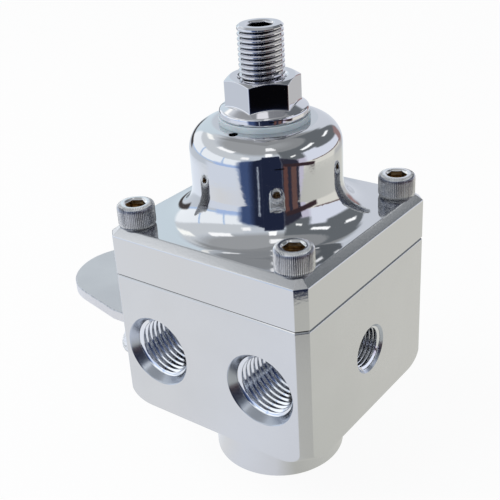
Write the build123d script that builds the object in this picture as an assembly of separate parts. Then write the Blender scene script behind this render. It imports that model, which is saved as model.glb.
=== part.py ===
"""Fuel pressure regulator with a diaphragm: square billet body, domed bonnet and bracket.

Millimetres, +Z up along the axis of the diaphragm. The origin is the centre of the flat
bottom face of the inlet boss. The two outlets face -Y, the gauge port faces +X and the
bracket is on -X.
"""
from build123d import *
import math
import os

# Outside of the billet body and the bonnet plate
width = 50.8
body_height = 32.9
plate_height = 10.65
corner_chamfer = 2.1
joint_chamfer = 0.25
plate_top_chamfer_in = 1.6
plate_top_chamfer_down = 1.4
bottom_corner_radius = 3.6
bottom_corner_bite = 0.05
face_boss_height = 18.5
boss_radius = 15.45
boss_edge_chamfer = 0.6
boss_root_radius = 1.0

# Dome of the bonnet
dome_radius = 16.2
dome_height = 20.7
dome_shoulder_radius = 6.0
dome_foot_radius = 7.0
spring_bore_radius = 12.4
dome_roof = 6.25
vent_radius = 1.1
vent_gap = 0.05

# Threads, drawn plain at their outer radius
adjuster_radius = 4.74
adjuster_pitch = 1.0583
thread_clearance = 0.05
outlet_thread_radius = 7.14
outlet_thread_length = 11.3
gauge_thread_radius = 5.1
gauge_thread_length = 10.0
inlet_thread_radius = 9.52
inlet_thread_length = 14.0
screw_radius = 2.41

# Ports
port_drop = 17.0
outlet_spacing = 27.76
outlet_mouth_step = 0.86
outlet_mouth_depth = 3.2
outlet_cone_depth = 1.3
outlet_mouth_edge = 0.2
outlet_core_radius = 5.5
outlet_core_depth = 2.0
gauge_mouth_chamfer = 0.45
gauge_core_radius = 3.5
gauge_core_depth = 3.0
inlet_mouth_edge = 0.25
inlet_cone_depth = 3.0
feed_radius = 2.6
feed_x = 10.6
feed_y = 10.4
gauge_feed_radius = 1.75
gauge_feed_x = 14.0

# Chamber under the diaphragm and the bore of the valve
clamp_radius = 21.6
chamber_radius = 17.5
chamber_depth = 4.0
bonnet_relief = 3.2
valve_bore_radius = 6.35

# Diaphragm stack
diaphragm_thickness = 1.0
diaphragm_slack = 0.1
diaphragm_travel = 1.2
plate_radius = 12.6
plate_thickness = 1.2
plate_edge_round = 0.4
convolution_rise = 1.5
stem_flange_radius = 4.5
stem_flange_height = 1.5
stem_shank_radius = 2.5
stem_shank_length = 9.2
stem_pin_radius = 1.2
stem_hole_clearance = 0.1
stem_washer_radius = 5.0
stem_washer_thickness = 1.0
stem_nut_flats = 8.0
stem_nut_height = 4.0

# Main spring and its upper seat
spring_wire_radius = 1.15
spring_bore_clearance = 1.35
spring_height = 15.4
spring_turns = 4.5
spring_seat_clearance = 0.5
spring_seat_thickness = 2.0
spring_spigot_clearance = 0.85
spring_spigot_height = 1.6
spring_seat_boss_radius = 6.0
spring_seat_boss_height = 1.2
adjuster_tip_radius = 3.0
adjuster_tip_depth = 0.6

# Adjusting screw, flange nut and sealing washer
adjuster_length = 32.1
adjuster_chamfer = 0.7
adjuster_socket_flats = 4.76
adjuster_socket_depth = 6.0
seal_washer_margin = 0.45
seal_washer_thickness = 1.25
seal_washer_edge = 0.15
nut_flats = 14.0
nut_height = 8.2
nut_flange_reach = 2.15
nut_flange_undercut = 0.7
nut_flange_rim = 0.9
nut_flange_slope = 1.5
nut_turn = 15.0
nut_top_chamfer_angle = 28.0

# Valve
seat_flange_radius = 8.0
seat_flange_height = 1.5
seat_flange_clearance = 0.1
seat_length = 10.0
seat_fit = 0.03
seat_orifice_radius = 2.5
seat_lip_radius = 3.4
seat_lip_height = 0.6
o_ring_section_radius = 0.9
o_ring_drop = 2.6
groove_width = 2.2
poppet_radius = 5.0
poppet_height = 3.0
poppet_shut_gap = 0.05
poppet_seal_inner_radius = 1.9
poppet_seal_outer_radius = 4.2
poppet_seal_thickness = 1.2
poppet_spigot_radius = 2.6
poppet_spigot_height = 1.5
poppet_guide_radius = 1.5
guide_fit = 0.05
valve_spring_height = 7.0
valve_spring_wire_radius = 0.35
valve_spring_clearance = 0.4
valve_spring_turns = 5.0
retainer_thickness = 3.0
flow_hole_radius = 0.9
flow_hole_circle = 4.95
flow_hole_count = 6

# Screws
screw_head_radius = 4.04
screw_head_height = 4.85
screw_head_edge = 0.45
screw_socket_flats = 3.97
screw_socket_depth = 2.4
screw_inset = 5.1
screw_clearance = 0.25
tapping_clearance = 0.05
screw_head_gap = 0.3
tap_run_out = 0.7
cap_screw_length = 19.05

# Bracket
bracket_thickness = 2.8
bracket_top_drop = 17.2
bracket_straight = 10.6
bracket_tip_radius = 14.4
bracket_reach = 34.3
bracket_bend_radius = 2.4
bracket_leg_corner = 4.0
bracket_edge_chamfer = 0.3
bracket_hole_radius = 3.3
bracket_hole_spacing = 14.8
bracket_hole_out = 12.2
bracket_screw_spacing = 26.0
bracket_screw_side = 3.9
bracket_screw_below_top = 9.2
bracket_screw_above_end = 5.2
bracket_screw_length = 10.2
lock_washer_radius = 3.9
lock_washer_thickness = 1.1
lock_washer_gap = 0.8

# Places that follow from the sizes above
half = width / 2
screw_offset = half - screw_inset
outlet_mouth_radius = outlet_thread_radius + outlet_mouth_step
spring_mean_radius = spring_bore_radius - spring_bore_clearance - spring_wire_radius
spring_spigot_radius = spring_mean_radius - spring_wire_radius - spring_spigot_clearance
valve_spring_mean_radius = poppet_spigot_radius + valve_spring_clearance + valve_spring_wire_radius
nut_flange_radius = nut_flats / 2 + nut_flange_reach
seal_washer_radius = nut_flange_radius + seal_washer_margin
vent_offset = seal_washer_radius + vent_radius + vent_gap
joint_z = face_boss_height + body_height
plate_top_z = joint_z + plate_height
dome_top_z = plate_top_z + dome_height
port_z = joint_z - port_drop
clamp_z = joint_z - diaphragm_thickness
floor_z = clamp_z - chamber_depth
upper_plate_top_z = joint_z + plate_thickness
spring_top_z = upper_plate_top_z + spring_height
adjuster_bottom_z = spring_top_z + spring_seat_thickness + spring_seat_boss_height - adjuster_tip_depth
washer_top_z = dome_top_z + seal_washer_thickness
seat_bottom_z = floor_z - seat_length
poppet_top_z = seat_bottom_z - seat_lip_height - poppet_shut_gap - diaphragm_travel
poppet_base_z = poppet_top_z - poppet_height
retainer_top_z = poppet_base_z - valve_spring_height
adjuster_hole_radius = adjuster_radius + thread_clearance
bracket_top_z = joint_z - bracket_top_drop
bracket_half_width = bracket_screw_spacing / 2 + bracket_screw_side
bracket_screw_z = bracket_top_z - bracket_screw_below_top
bracket_end_z = bracket_screw_z - bracket_screw_above_end


def disc(radius, bottom, height):
    """Upright cylinder from its bottom height."""
    return Pos(0, 0, bottom) * extrude(Circle(radius), amount=height)


def hexagon(flats, bottom, height, turn=0.0):
    """Upright hexagonal prism, given across its flats, with one flat facing turn degrees."""
    corner_radius = flats / math.sqrt(3)
    return Pos(0, 0, bottom) * extrude(RegularPolygon(corner_radius, 6, rotation=turn + 30), amount=height)


def turned(points):
    """Solid turned about Z from a closed outline of radius and height pairs."""
    outline = make_face(Polyline([(r, 0, z) for r, z in points], close=True))
    return revolve(outline, Axis.Z)


def stepped_hole(steps, edge_round=0.0):
    """Cutter for a hole whose mouth is at z 0 and which goes down.

    steps holds the radius at the start and the end of each length of the hole.
    """
    points = [(0, 1.0), (steps[0][0] + edge_round, 1.0), (steps[0][0] + edge_round, 0)]
    depth = edge_round
    points.append((steps[0][0], -depth))
    for start, end, length in steps:
        if points[-1][0] != start:
            points.append((start, -depth))
        depth += length
        points.append((end, -depth))
    points.append((0, -depth))
    return turned(points)


def square_block(bottom, height):
    """Billet square with its upright corners chamfered."""
    block = Pos(0, 0, bottom) * extrude(Rectangle(width, width), amount=height)
    return chamfer(block.edges().filter_by(Axis.Z), corner_chamfer)


def outer_edges_at(solid, level):
    """Straight edges of the square outline that lie at one height."""
    flat = solid.edges().filter_by(GeomType.LINE).filter_by_position(Axis.Z, level - 0.01, level + 0.01)
    return flat.filter_by(lambda e: max(abs(e.center().X), abs(e.center().Y)) > half - corner_chamfer)


def corner_places(offset):
    """The four places on the square of the cap screws."""
    return [Pos(x, y, 0) for x in (-offset, offset) for y in (-offset, offset)]


def outlet_cutter():
    steps = [
        (outlet_mouth_radius, outlet_mouth_radius, outlet_mouth_depth),
        (outlet_mouth_radius, outlet_thread_radius, outlet_cone_depth),
        (outlet_thread_radius, outlet_thread_radius, outlet_thread_length),
        (outlet_core_radius, outlet_core_radius, outlet_core_depth),
    ]
    return Rot(90, 0, 0) * stepped_hole(steps, outlet_mouth_edge)


def gauge_cutter():
    steps = [
        (gauge_thread_radius, gauge_thread_radius, gauge_thread_length),
        (gauge_core_radius, gauge_core_radius, gauge_core_depth),
    ]
    return Rot(0, 90, 0) * stepped_hole(steps, gauge_mouth_chamfer)


def inlet_cutter():
    steps = [
        (inlet_thread_radius, inlet_thread_radius, inlet_thread_length),
        (inlet_thread_radius, valve_bore_radius, inlet_cone_depth),
    ]
    return Rot(180, 0, 0) * stepped_hole(steps, inlet_mouth_edge)


def bottom_corner_cutter():
    """Ring that rounds the four low corners where the billet was turned for its boss."""
    corner_reach = math.hypot(half, half - corner_chamfer) + bottom_corner_bite
    outer = corner_reach + 3
    radius = bottom_corner_radius
    centre = (corner_reach - radius, face_boss_height + radius)
    middle = (centre[0] + radius * math.sin(math.pi / 4), centre[1] - radius * math.cos(math.pi / 4))
    start = (centre[0], centre[1] - radius)
    end = (centre[0] + radius, centre[1])
    arc = ThreePointArc((start[0], 0, start[1]), (middle[0], 0, middle[1]), (end[0], 0, end[1]))
    rest = Polyline(
        (end[0], 0, end[1]),
        (outer, 0, end[1]),
        (outer, 0, start[1] - 1),
        (start[0], 0, start[1] - 1),
        (start[0], 0, start[1]),
    )
    return revolve(make_face([arc, rest]), Axis.Z)


def make_body():
    block = square_block(face_boss_height, body_height) - bottom_corner_cutter()
    block = chamfer(outer_edges_at(block, joint_z), joint_chamfer)
    boss = turned([
        (0, 0),
        (boss_radius - boss_edge_chamfer, 0),
        (boss_radius, boss_edge_chamfer),
        (boss_radius, face_boss_height - boss_root_radius),
        (boss_radius + boss_root_radius, face_boss_height),
        (boss_radius + boss_root_radius, face_boss_height + 1),
        (0, face_boss_height + 1),
    ])
    solid = block + boss
    for x in (-outlet_spacing / 2, outlet_spacing / 2):
        solid -= Pos(x, -half, port_z) * outlet_cutter()
    solid -= Pos(half, 0, port_z) * gauge_cutter()
    solid -= inlet_cutter()
    solid -= disc(clamp_radius, clamp_z, diaphragm_thickness + 1)
    solid -= disc(chamber_radius, floor_z, chamber_depth + 1)
    solid -= disc(seat_flange_radius + seat_flange_clearance, floor_z - seat_flange_height, seat_flange_height + 1)
    solid -= disc(valve_bore_radius, inlet_thread_length, floor_z - inlet_thread_length)
    for x in (-feed_x, feed_x):
        solid -= Pos(x, -feed_y, 0) * disc(feed_radius, port_z + outlet_core_radius / 2, floor_z - port_z)
    solid -= Pos(gauge_feed_x, 0, 0) * disc(gauge_feed_radius, port_z, floor_z - port_z + 1)
    cap_hole_depth = cap_screw_length - plate_height + tap_run_out
    tapped = disc(screw_radius + tapping_clearance, joint_z - cap_hole_depth, cap_hole_depth + 1)
    for place in corner_places(screw_offset):
        solid -= place * tapped
    side_depth = bracket_screw_length - lock_washer_thickness - bracket_thickness + tap_run_out
    side_tapped = Rot(0, 90, 0) * disc(screw_radius + tapping_clearance, -1, side_depth + 1)
    for y in (-bracket_screw_spacing / 2, bracket_screw_spacing / 2):
        solid -= Pos(-half, y, bracket_screw_z) * side_tapped
    return solid


def dome_outline():
    """Half section of the dome: flared foot, straight wall, round shoulder and flat top."""
    head_reach = math.hypot(screw_offset, screw_offset) - screw_head_radius - screw_head_gap
    foot = min(dome_foot_radius, head_reach - dome_radius)
    shoulder = dome_shoulder_radius
    foot_centre = (dome_radius + foot, plate_top_z + foot)
    shoulder_centre = (dome_radius - shoulder, dome_top_z - shoulder)
    diagonal = math.sqrt(0.5)
    foot_arc = ThreePointArc(
        (foot_centre[0], 0, plate_top_z),
        (foot_centre[0] - foot * diagonal, 0, foot_centre[1] - foot * diagonal),
        (dome_radius, 0, foot_centre[1]),
    )
    wall = Line((dome_radius, 0, foot_centre[1]), (dome_radius, 0, shoulder_centre[1]))
    shoulder_arc = ThreePointArc(
        (dome_radius, 0, shoulder_centre[1]),
        (shoulder_centre[0] + shoulder * diagonal, 0, shoulder_centre[1] + shoulder * diagonal),
        (shoulder_centre[0], 0, dome_top_z),
    )
    rest = Polyline(
        (shoulder_centre[0], 0, dome_top_z),
        (0, 0, dome_top_z),
        (0, 0, plate_top_z - 1),
        (foot_centre[0], 0, plate_top_z - 1),
        (foot_centre[0], 0, plate_top_z),
    )
    return make_face([foot_arc, wall, shoulder_arc, rest])


def make_bonnet():
    plate = square_block(joint_z, plate_height)
    plate = chamfer(outer_edges_at(plate, plate_top_z), plate_top_chamfer_down, plate_top_chamfer_in)
    plate = chamfer(outer_edges_at(plate, joint_z), joint_chamfer)
    solid = plate + revolve(dome_outline(), Axis.Z)
    bore_top = dome_top_z - dome_roof
    solid -= disc(spring_bore_radius, joint_z, bore_top - joint_z)
    solid -= disc(chamber_radius, joint_z, bonnet_relief)
    solid -= disc(adjuster_hole_radius, bore_top - 1, dome_roof + 2)
    solid -= Pos(0, -vent_offset, 0) * disc(vent_radius, bore_top - 1, dome_roof + 2)
    clear = disc(screw_radius + screw_clearance, joint_z - 1, plate_height + 2)
    for place in corner_places(screw_offset):
        solid -= place * clear
    return solid


def socket_screw(length):
    """Socket head screw whose head stands on z 0 and whose shank goes down."""
    radius = screw_head_radius
    top = screw_head_height
    edge = screw_head_edge
    solid = turned([
        (0, -length),
        (screw_radius - edge, -length),
        (screw_radius, -length + edge),
        (screw_radius, 0),
        (radius, 0),
        (radius, top - edge),
        (radius - edge, top),
        (0, top),
    ])
    return solid - hexagon(screw_socket_flats, top - screw_socket_depth, screw_socket_depth + 1)


def make_cap_screws():
    screw = Pos(0, 0, plate_top_z) * socket_screw(cap_screw_length)
    return Compound(children=[place * screw for place in corner_places(screw_offset)])


def bracket_face_places():
    """The two screw places on the outer face of the bracket's upright leg."""
    x = -half - bracket_thickness
    ys = (-bracket_screw_spacing / 2, bracket_screw_spacing / 2)
    return [Pos(x, y, bracket_screw_z) * Rot(0, -90, 0) for y in ys]


def make_bracket_screws():
    screw = Pos(0, 0, lock_washer_thickness) * socket_screw(bracket_screw_length)
    return Compound(children=[place * screw for place in bracket_face_places()])


def make_bracket_lock_washers():
    ring = disc(lock_washer_radius, 0, lock_washer_thickness)
    ring -= disc(screw_radius + screw_clearance, -1, lock_washer_thickness + 2)
    split = Pos(lock_washer_radius, 0, lock_washer_thickness / 2) * Rot(20, 0, 0)
    ring -= split * Box(2 * lock_washer_radius, lock_washer_gap, 4 * lock_washer_thickness)
    return Compound(children=[place * ring for place in bracket_face_places()])


def bracket_outline():
    """Plan of the bracket: parallel sides that taper into a round tip."""
    x_wall = -half
    x_kink = x_wall - bracket_straight
    x_tip = x_wall - bracket_reach + bracket_tip_radius
    run = x_kink - x_tip
    reach = math.hypot(run, bracket_half_width)
    angle = math.atan2(bracket_half_width, run) + math.acos(bracket_tip_radius / reach)
    touch_x = x_tip + bracket_tip_radius * math.cos(angle)
    touch_y = bracket_tip_radius * math.sin(angle)
    upper = Polyline((x_wall, bracket_half_width), (x_kink, bracket_half_width), (touch_x, touch_y))
    tip = ThreePointArc((touch_x, touch_y), (x_tip - bracket_tip_radius, 0), (touch_x, -touch_y))
    lower = Polyline((touch_x, -touch_y), (x_kink, -bracket_half_width), (x_wall, -bracket_half_width))
    return make_face([upper, tip, lower, Line((x_wall, -bracket_half_width), (x_wall, bracket_half_width))])


def make_bracket():
    top = bracket_top_z
    t = bracket_thickness
    inner = bracket_bend_radius
    outer = inner + t
    leg_bottom = bracket_end_z
    section = make_face([
        Line((-half, 0, leg_bottom), (-half, 0, top - outer)),
        ThreePointArc(
            (-half, 0, top - outer),
            (-half - outer + outer * math.sqrt(0.5), 0, top - outer + outer * math.sqrt(0.5)),
            (-half - outer, 0, top),
        ),
        Line((-half - outer, 0, top), (-half - bracket_reach, 0, top)),
        Line((-half - bracket_reach, 0, top), (-half - bracket_reach, 0, top - t)),
        Line((-half - bracket_reach, 0, top - t), (-half - outer, 0, top - t)),
        ThreePointArc(
            (-half - outer, 0, top - t),
            (-half - outer + inner * math.sqrt(0.5), 0, top - outer + inner * math.sqrt(0.5)),
            (-half - t, 0, top - outer),
        ),
        Line((-half - t, 0, top - outer), (-half - t, 0, leg_bottom)),
        Line((-half - t, 0, leg_bottom), (-half, 0, leg_bottom)),
    ])
    solid = extrude(section, amount=bracket_half_width, dir=(0, 1, 0), both=True)
    plan = Pos(0, 0, leg_bottom - 1) * extrude(bracket_outline(), amount=top - leg_bottom + 2)
    solid = solid & plan
    low_corners = solid.edges().filter_by(Axis.X).group_by(Axis.Z)[0]
    solid = fillet(low_corners, bracket_leg_corner)
    top_rim = solid.edges().filter_by_position(Axis.Z, top - 0.01, top + 0.01)
    top_rim = top_rim.filter_by(lambda e: e.center().X < -half - outer - 0.1)
    solid = chamfer(top_rim, bracket_edge_chamfer)
    hole = disc(bracket_hole_radius, top - t - 1, t + 2)
    for y in (-bracket_hole_spacing / 2, bracket_hole_spacing / 2):
        solid -= Pos(-half - bracket_hole_out, y, 0) * hole
    screw_hole = disc(screw_radius + screw_clearance, -t - 1, t + 2)
    for place in bracket_face_places():
        solid -= place * screw_hole
    return solid


def make_adjusting_screw():
    top = washer_top_z + nut_height + adjuster_stand_out()
    bottom = adjuster_bottom_z
    edge = adjuster_chamfer
    solid = turned([
        (0, bottom),
        (adjuster_tip_radius, bottom),
        (adjuster_tip_radius, bottom + 1.0),
        (adjuster_radius, bottom + 1.0 + adjuster_radius - adjuster_tip_radius),
        (adjuster_radius, top - edge),
        (adjuster_radius - edge, top),
        (0, top),
    ])
    socket = hexagon(adjuster_socket_flats, top - adjuster_socket_depth, adjuster_socket_depth + 1, nut_turn)
    return solid - socket


def adjuster_stand_out():
    """Length of the adjusting screw that shows above its nut."""
    return adjuster_bottom_z + adjuster_length - washer_top_z - nut_height


def make_jam_nut():
    base = washer_top_z
    top = base + nut_height
    rim_top = base + nut_flange_rim
    flange = turned([
        (0, base),
        (nut_flange_radius - nut_flange_undercut, base),
        (nut_flange_radius, base + nut_flange_rim / 2),
        (nut_flange_radius, rim_top),
        (nut_flats / 2, rim_top + nut_flange_slope),
        (0, rim_top + nut_flange_slope),
    ])
    corner = nut_flats / math.sqrt(3)
    drop = (corner + 1 - nut_flats / 2) * math.tan(math.radians(nut_top_chamfer_angle))
    cone = turned([
        (0, base),
        (corner + 1, base),
        (corner + 1, top - drop),
        (nut_flats / 2, top),
        (0, top),
    ])
    solid = flange + (hexagon(nut_flats, base + nut_flange_rim / 2, nut_height - nut_flange_rim / 2, nut_turn) & cone)
    return solid - disc(adjuster_hole_radius, base - 1, nut_height + 2)


def ring(outer, inner, bottom, height):
    return disc(outer, bottom, height) - disc(inner, bottom - 1, height + 2)


def make_sealing_washer():
    solid = ring(seal_washer_radius, adjuster_hole_radius, dome_top_z, seal_washer_thickness)
    outer_edges = solid.edges().filter_by(GeomType.CIRCLE).filter_by(lambda e: e.radius > adjuster_radius + 1)
    return chamfer(outer_edges, seal_washer_edge)


def make_upper_spring_seat():
    radius = spring_bore_radius - spring_seat_clearance
    solid = disc(radius, spring_top_z, spring_seat_thickness)
    solid += disc(spring_spigot_radius, spring_top_z - spring_spigot_height, spring_spigot_height)
    boss_bottom = spring_top_z + spring_seat_thickness
    solid += disc(spring_seat_boss_radius, boss_bottom, spring_seat_boss_height)
    return solid - disc(adjuster_tip_radius + thread_clearance, adjuster_bottom_z, spring_seat_boss_height)


def coil(mean_radius, wire_radius, bottom, height, turns):
    """Coil spring of round wire that stands between two heights."""
    rise = height - 2 * wire_radius
    path = Helix(rise / turns, rise, mean_radius)
    section = Plane(origin=path @ 0, z_dir=path % 0) * Circle(wire_radius)
    return Pos(0, 0, bottom + wire_radius) * sweep(section, path=path, is_frenet=True)


def make_main_spring():
    return coil(spring_mean_radius, spring_wire_radius, upper_plate_top_z, spring_height, spring_turns)


def make_diaphragm():
    """Flat rubberised disc with one half-round roll between the plates and the clamped rim."""
    t = diaphragm_thickness
    rim = clamp_radius - diaphragm_slack
    hole = stem_shank_radius + stem_hole_clearance
    roll_in = plate_radius + 0.5
    roll_out = chamber_radius - 0.5
    middle = (roll_in + roll_out) / 2
    rise = convolution_rise
    top = joint_z
    low = joint_z - t
    under = t * 0.7
    outline = make_face([
        Line((hole, 0, low), (roll_in + under, 0, low)),
        ThreePointArc((roll_in + under, 0, low), (middle, 0, low + rise), (roll_out - under, 0, low)),
        Line((roll_out - under, 0, low), (rim, 0, low)),
        Line((rim, 0, low), (rim, 0, top)),
        Line((rim, 0, top), (roll_out, 0, top)),
        ThreePointArc((roll_out, 0, top), (middle, 0, top + rise), (roll_in, 0, top)),
        Line((roll_in, 0, top), (hole, 0, top)),
        Line((hole, 0, top), (hole, 0, low)),
    ])
    return revolve(outline, Axis.Z)


def diaphragm_plate(bottom):
    solid = ring(plate_radius, stem_shank_radius + stem_hole_clearance, bottom, plate_thickness)
    outer_edges = solid.edges().filter_by(GeomType.CIRCLE).filter_by(lambda e: e.radius > plate_radius - 1)
    return fillet(outer_edges, plate_edge_round)


def make_diaphragm_stem():
    """Stud with a flange under the lower plate and a pin that reaches the poppet."""
    flange_top = clamp_z - plate_thickness
    flange_bottom = flange_top - stem_flange_height
    shank_top = flange_top + stem_shank_length
    return turned([
        (0, poppet_top_z),
        (stem_pin_radius, poppet_top_z),
        (stem_pin_radius, flange_bottom),
        (stem_flange_radius, flange_bottom),
        (stem_flange_radius, flange_top),
        (stem_shank_radius, flange_top),
        (stem_shank_radius, shank_top - 0.4),
        (stem_shank_radius - 0.4, shank_top),
        (0, shank_top),
    ])


def make_stem_washer():
    return ring(stem_washer_radius, stem_shank_radius + stem_hole_clearance, upper_plate_top_z, stem_washer_thickness)


def make_stem_nut():
    bottom = upper_plate_top_z + stem_washer_thickness
    solid = hexagon(stem_nut_flats, bottom, stem_nut_height)
    return solid - disc(stem_shank_radius + thread_clearance, bottom - 1, stem_nut_height + 2)


def make_valve_seat():
    """Turned insert with a flange, an O-ring groove, the orifice and the seat lip."""
    outer = valve_bore_radius - seat_fit
    flange_bottom = floor_z - seat_flange_height
    groove_bottom_radius = outer - 2 * o_ring_section_radius
    groove_z = floor_z - o_ring_drop - groove_width / 2
    return turned([
        (seat_orifice_radius, seat_bottom_z - seat_lip_height),
        (seat_lip_radius, seat_bottom_z - seat_lip_height),
        (seat_lip_radius + 0.4, seat_bottom_z),
        (outer, seat_bottom_z),
        (outer, groove_z - groove_width / 2),
        (groove_bottom_radius, groove_z - groove_width / 2),
        (groove_bottom_radius, groove_z + groove_width / 2),
        (outer, groove_z + groove_width / 2),
        (outer, flange_bottom),
        (seat_flange_radius, flange_bottom),
        (seat_flange_radius, floor_z),
        (seat_orifice_radius + 0.5, floor_z),
        (seat_orifice_radius, floor_z - 0.5),
    ])


def make_valve_seat_o_ring():
    centre_radius = valve_bore_radius - seat_fit - o_ring_section_radius
    section = Pos(centre_radius, 0, floor_z - o_ring_drop - groove_width / 2) * Rot(90, 0, 0)
    return revolve(section * Circle(o_ring_section_radius), Axis.Z)


def make_poppet():
    """Valve disc with a pocket for its seal, a spring spigot and a guide stem."""
    top = poppet_top_z
    base = poppet_base_z
    pocket = top - poppet_seal_thickness
    guide_bottom = retainer_top_z - retainer_thickness - diaphragm_travel
    return turned([
        (0, top),
        (poppet_seal_inner_radius, top),
        (poppet_seal_inner_radius, pocket),
        (poppet_seal_outer_radius, pocket),
        (poppet_seal_outer_radius, top),
        (poppet_radius, top),
        (poppet_radius, base),
        (poppet_spigot_radius, base),
        (poppet_spigot_radius, base - poppet_spigot_height),
        (poppet_guide_radius, base - poppet_spigot_height),
        (poppet_guide_radius, guide_bottom),
        (0, guide_bottom),
    ])


def make_poppet_seal():
    bottom = poppet_top_z - poppet_seal_thickness
    return ring(poppet_seal_outer_radius, poppet_seal_inner_radius, bottom, poppet_seal_thickness)


def make_poppet_spring():
    return coil(
        valve_spring_mean_radius,
        valve_spring_wire_radius,
        retainer_top_z,
        valve_spring_height,
        valve_spring_turns,
    )


def make_spring_retainer():
    bottom = retainer_top_z - retainer_thickness
    solid = ring(valve_bore_radius - seat_fit, poppet_guide_radius + guide_fit, bottom, retainer_thickness)
    for place in PolarLocations(flow_hole_circle, flow_hole_count):
        solid -= place * disc(flow_hole_radius, bottom - 1, retainer_thickness + 2)
    return solid


parts = {
    "body": make_body(),
    "bonnet": make_bonnet(),
    "cap_screws": make_cap_screws(),
    "bracket": make_bracket(),
    "bracket_screws": make_bracket_screws(),
    "bracket_lock_washers": make_bracket_lock_washers(),
    "adjusting_screw": make_adjusting_screw(),
    "jam_nut": make_jam_nut(),
    "sealing_washer": make_sealing_washer(),
    "upper_spring_seat": make_upper_spring_seat(),
    "main_spring": make_main_spring(),
    "diaphragm": make_diaphragm(),
    "diaphragm_upper_plate": diaphragm_plate(joint_z),
    "diaphragm_lower_plate": diaphragm_plate(clamp_z - plate_thickness),
    "diaphragm_stem": make_diaphragm_stem(),
    "stem_washer": make_stem_washer(),
    "stem_nut": make_stem_nut(),
    "valve_seat": make_valve_seat(),
    "valve_seat_o_ring": make_valve_seat_o_ring(),
    "poppet": make_poppet(),
    "poppet_seal": make_poppet_seal(),
    "poppet_spring": make_poppet_spring(),
    "spring_retainer": make_spring_retainer(),
}

os.makedirs("parts", exist_ok=True)
for name, shape in parts.items():
    export_step(shape, f"parts/{name}.step")
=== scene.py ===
import math

import bpy
import numpy as np
from mathutils import Matrix, Vector
from mathutils.geometry import tessellate_polygon


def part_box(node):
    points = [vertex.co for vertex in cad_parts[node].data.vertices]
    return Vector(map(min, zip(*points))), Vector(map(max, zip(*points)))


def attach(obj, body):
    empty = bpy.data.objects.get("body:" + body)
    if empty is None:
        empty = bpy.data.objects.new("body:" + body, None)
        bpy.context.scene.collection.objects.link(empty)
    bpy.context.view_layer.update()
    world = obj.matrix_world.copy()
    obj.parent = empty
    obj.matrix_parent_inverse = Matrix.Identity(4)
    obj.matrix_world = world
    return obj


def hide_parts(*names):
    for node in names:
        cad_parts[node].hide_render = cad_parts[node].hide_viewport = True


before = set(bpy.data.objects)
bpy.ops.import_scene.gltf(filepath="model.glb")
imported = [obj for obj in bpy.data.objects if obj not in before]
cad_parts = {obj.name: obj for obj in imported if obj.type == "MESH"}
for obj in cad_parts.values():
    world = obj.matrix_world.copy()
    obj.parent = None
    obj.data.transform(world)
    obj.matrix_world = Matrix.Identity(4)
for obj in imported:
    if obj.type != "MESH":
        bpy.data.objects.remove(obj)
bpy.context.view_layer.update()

# The camera, at the photograph's viewing angle: close in front of the right-hand front corner,
# above the object and looking down on it, with a slight lean.
camera_place = (0.10909, -0.14765, 0.14554)
camera_azimuth, camera_elevation, camera_lean = 37.94, 26.93, -3.57
camera_data = bpy.data.cameras.new("camera")
camera_data.lens = 66.32
camera_data.sensor_width = 36.0
camera_data.clip_start = 0.005
camera = bpy.data.objects.new("camera", camera_data)
bpy.context.scene.collection.objects.link(camera)
turn = Matrix.Rotation(math.radians(camera_azimuth), 3, "Z")
tilt = Matrix.Rotation(math.radians(90 - camera_elevation), 3, "X")
lean = Matrix.Rotation(math.radians(camera_lean), 3, "Z")
camera.matrix_world = Matrix.Translation(camera_place) @ (turn @ tilt @ lean).to_4x4()
bpy.context.scene.camera = camera


# Body: a two inch square aluminium billet, milled on its sides, turned round its inlet boss and
# drilled and tapped for two outlets, a gauge port and the inlet. Sizes here and below are in
# millimetres, and the outer ones come from the frame.
def node_box(node):
    """Lowest and highest corner of a CAD node, in millimetres."""
    low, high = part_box(node)
    return np.array(low) * 1000, np.array(high) * 1000


def soften(corners, reach, steps=4):
    """Rounds the corners of a profile, or of one profile for each column.

    Each inner corner C becomes the curve (1-t)^2 A + 2t(1-t) C + t^2 B, where A and B lie at reach
    before and after it. The two ends stay.
    """
    corners = np.asarray(corners, float)
    before, at, after = corners[..., :-2, :], corners[..., 1:-1, :], corners[..., 2:, :]
    back, ahead = before - at, after - at
    back_length = np.maximum(np.linalg.norm(back, axis=-1, keepdims=True), 1e-9)
    ahead_length = np.maximum(np.linalg.norm(ahead, axis=-1, keepdims=True), 1e-9)
    reach = np.broadcast_to(reach, at.shape[:-1])[..., None]
    start = at + back / back_length * np.minimum(reach, 0.48 * back_length)
    end = at + ahead / ahead_length * np.minimum(reach, 0.48 * ahead_length)
    t = np.linspace(0, 1, steps + 1)[:, None]
    curve = (1 - t) ** 2 * start[..., None, :] + 2 * t * (1 - t) * at[..., None, :]
    curve = curve + t ** 2 * end[..., None, :]
    inner = curve.reshape(*curve.shape[:-3], -1, 2)
    return np.concatenate([corners[..., :1, :], inner, corners[..., -1:, :]], axis=-2)


def circle(radius, angle, centre=(0.0, 0.0)):
    """Points centre + radius * (cos a, sin a)."""
    return np.stack([centre[0] + radius * np.cos(angle), centre[1] + radius * np.sin(angle)], axis=-1)


def arc(centre, radius, start, end, steps):
    """Points on a circle between two angles in degrees."""
    return circle(radius, np.radians(np.linspace(start, end, steps + 1)), centre)


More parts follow.
